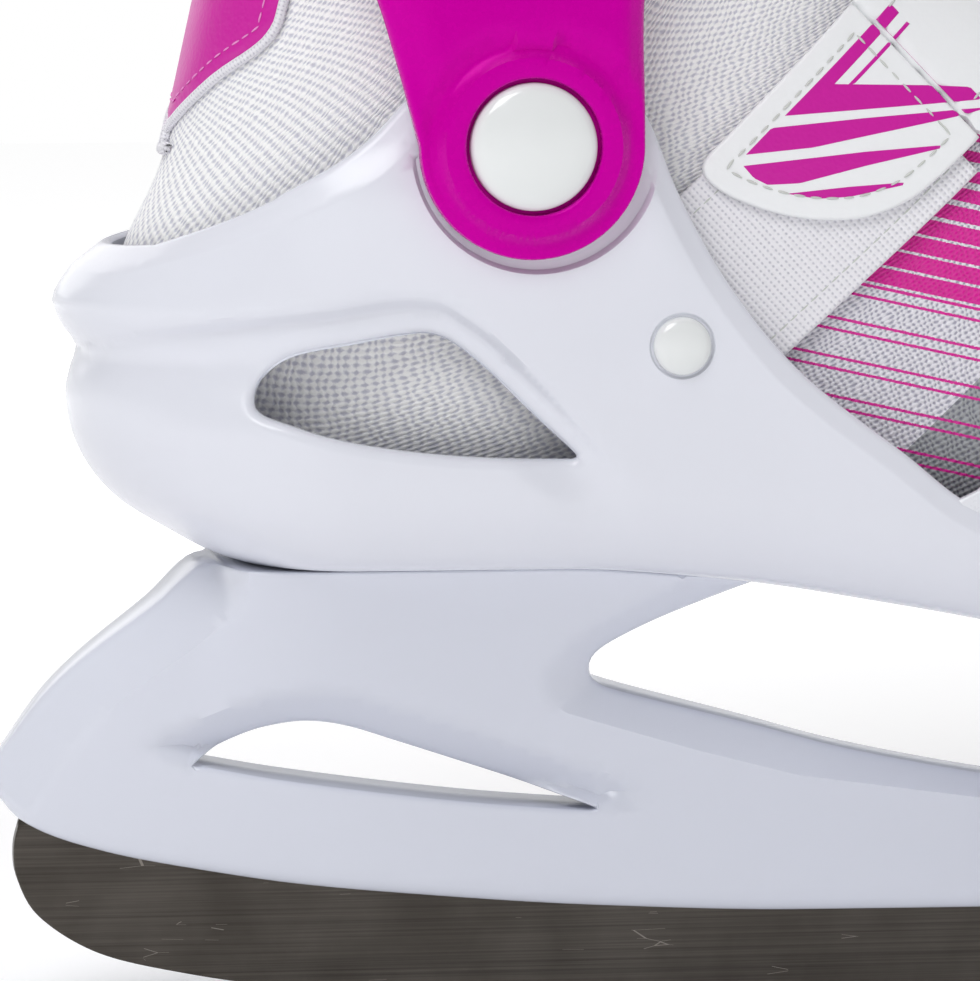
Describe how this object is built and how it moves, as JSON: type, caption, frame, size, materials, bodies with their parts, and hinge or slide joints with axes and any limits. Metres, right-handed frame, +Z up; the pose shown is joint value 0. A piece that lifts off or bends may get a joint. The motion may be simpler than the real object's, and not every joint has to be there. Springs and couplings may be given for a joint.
{
  "type": "ice skate",
  "caption": "Size-adjustable child's ice skate, right foot: soft knit boot in a hard plastic shell with a hinged ankle cuff, strap and buckle on a steel blade.",
  "frame": {"origin": "on the ice under the blade's flat, on the centre plane, halfway along the skate", "axes": "+X towards the toe, +Y towards the inner side of the foot, +Z up"},
  "size_m": [0.296, 0.1097, 0.3056],
  "materials": {
    "steel": "brushed along the runner, oiled",
    "shell_white": "glossy moulded polypropylene",
    "cap_white": "glossy moulded nylon",
    "magenta_plastic": "glossy moulded polypropylene",
    "knit_white": "spacer knit",
    "print_fabric": "printed knit",
    "lining_grey": "brushed lining",
    "coated_leather": "coated synthetic, stitched",
    "webbing": "woven tape",
    "zinc": "zinc plated",
    "foam_grey": "closed-cell foam",
    "nylon_grey": "natural nylon"
  },
  "bodies": {
    "base": {"blade": "steel", "blade_holder": "shell_white", "screw_rear_outer": "zinc", "screw_rear_inner": "zinc", "screw_front_outer": "zinc", "screw_front_inner": "zinc", "base_shell": "shell_white", "liner_stretch": "print_fabric", "liner_boot": "knit_white", "liner_ankle": "knit_white", "tongue_lower": "lining_grey", "insole": "foam_grey", "instep_strap": "coated_leather", "loop_tape": "webbing", "strap_rivet_outer": "cap_white", "strap_rivet_inner": "cap_white", "lace_loop_outer_1": "webbing", "lace_loop_outer_2": "webbing", "lace_loop_outer_3": "webbing", "lace_loop_inner_1": "webbing", "lace_loop_inner_2": "webbing", "lace_loop_inner_3": "webbing", "pivot_pin_outer": "zinc", "pivot_pin_inner": "zinc", "pivot_washer_outer": "nylon_grey", "pivot_washer_inner": "nylon_grey", "pivot_cap_outer": "cap_white", "pivot_cap_inner": "cap_white"},
    "toe": {"toe_shell": "cap_white", "liner_toe": "knit_white"},
    "button": {"size_button": "magenta_plastic"},
    "cuff": {"cuff": "magenta_plastic", "liner_shaft": "knit_white", "tongue_upper": "lining_grey", "heel_patch": "print_fabric", "pull_tab": "webbing", "buckle_base": "magenta_plastic", "lever_pin": "zinc", "pawl_pin": "zinc", "ladder_strap": "magenta_plastic", "buckle_rivet_rear": "zinc", "buckle_rivet_front": "zinc", "ladder_rivet": "zinc"},
    "lever": {"buckle_lever": "magenta_plastic"},
    "pawl": {"buckle_pawl": "cap_white"},
    "tab": {"strap_tab": "coated_leather"}
  },
  "joints": [
    {"name": "cuff_pivot", "type": "hinge", "parent": "base", "child": "cuff", "pos_m": [-0.0659, 0, 0.1417], "axis": [0, 1, 0], "range_deg": [-6, 14], "deforming": ["liner_ankle"]},
    {"name": "toe_slide", "type": "slide", "parent": "base", "child": "toe", "axis": [1, 0, 0], "range_m": [0, 0.02], "deforming": ["liner_stretch"]},
    {"name": "size_button_press", "type": "slide", "parent": "base", "child": "button", "axis": [0, 1, 0], "range_m": [0, 0.002], "stiffness_N_per_m": 600},
    {"name": "buckle_lever_open", "type": "hinge", "parent": "cuff", "child": "lever", "pos_m": [-0.04517, -0.0539, 0.23009], "axis": [0.1736, 0, 0.9848], "range_deg": [0, 95]},
    {"name": "pawl_release", "type": "hinge", "parent": "cuff", "child": "pawl", "pos_m": [-0.06683, -0.0531, 0.23391], "axis": [-0.1736, 0, -0.9848], "range_deg": [0, 8], "stiffness_Nm_per_rad": 0.03},
    {"name": "strap_peel", "type": "hinge", "parent": "base", "child": "tab", "pos_m": [-0.00025, -0.0322, 0.15093], "axis": [-0.6626, 0.206, 0.7201], "range_deg": [0, 60]}
  ]
}
